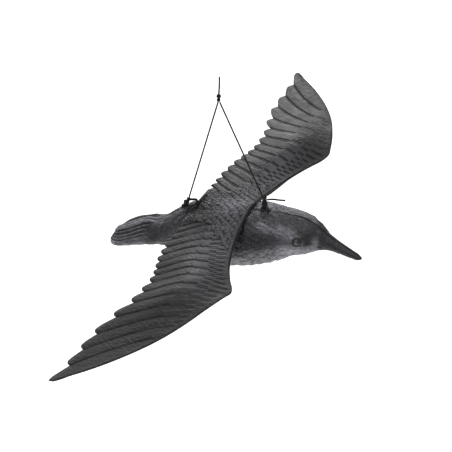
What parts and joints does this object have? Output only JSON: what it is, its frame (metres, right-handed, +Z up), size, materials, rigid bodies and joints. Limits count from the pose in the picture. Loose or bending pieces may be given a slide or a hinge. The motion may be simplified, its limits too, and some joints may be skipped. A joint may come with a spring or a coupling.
{
  "type": "hanging crow decoy",
  "caption": "Hollow flying crow decoy with one wing plate across its back, hung on a tied cord bridle; its wings flex and it swings and spins.",
  "frame": {"origin": "top of the hanging loop, inside which a hook holds the cord", "axes": "+X along the beak, +Y to the bird's left wing tip, +Z up along the hanging loop"},
  "size_m": [0.2765, 0.56, 0.2325],
  "materials": {
    "body_plastic": "moulded feather relief, dull with a soft sheen",
    "wing_plastic": "moulded feather relief, dull with a soft sheen",
    "cord": "twisted polyester cord, black"
  },
  "bodies": {
    "hanger": {"hanging_loop": "cord"},
    "swivel": {"loop_knot": "cord"},
    "bridle_head": {"bridle_knot": "cord"},
    "bridle": {"bridle_front_leg": "cord", "bridle_rear_leg": "cord"},
    "decoy": {"body_shell_left": "body_plastic", "body_shell_right": "body_plastic", "wing_saddle": "wing_plastic", "left_flex_strip": "wing_plastic", "right_flex_strip": "wing_plastic", "front_tie": "cord", "front_tie_tail": "cord", "rear_tie": "cord", "rear_tie_bow": "cord", "rear_bow_knot": "cord", "rear_tail_left": "cord", "rear_tail_right": "cord"},
    "left_wing": {"left_wing": "wing_plastic"},
    "right_wing": {"right_wing": "wing_plastic"}
  },
  "joints": [
    {"name": "spin", "type": "hinge", "parent": "hanger", "child": "swivel", "pos_m": [-0.0009, 0, -0.0214], "axis": [0, 0, 1], "continuous": true},
    {"name": "swing_fore_aft", "type": "hinge", "parent": "swivel", "child": "bridle_head", "pos_m": [-0.0009, 0, -0.0214], "axis": [0, 1, 0], "range_deg": [-40, 40]},
    {"name": "swing_sideways", "type": "hinge", "parent": "bridle_head", "child": "bridle", "pos_m": [-0.0009, 0, -0.0256], "axis": [1, 0, 0], "range_deg": [-40, 40]},
    {"name": "roll", "type": "hinge", "parent": "bridle", "child": "decoy", "pos_m": [-0.035, 0, -0.1534], "axis": [0.9575, 0, 0.2884], "range_deg": [-45, 45]},
    {"name": "left_flap", "type": "hinge", "parent": "decoy", "child": "left_wing", "pos_m": [-0.028, 0.04, -0.1605], "axis": [0.984, 0, 0.1781], "range_deg": [-12, 12], "stiffness_Nm_per_rad": 1, "springref_deg": 2.58, "deforming": ["left_flex_strip"]},
    {"name": "right_flap", "type": "hinge", "parent": "decoy", "child": "right_wing", "pos_m": [-0.028, -0.04, -0.1605], "axis": [-0.984, 0, -0.1781], "range_deg": [-12, 12], "stiffness_Nm_per_rad": 1, "springref_deg": 2.58, "deforming": ["right_flex_strip"]}
  ]
}
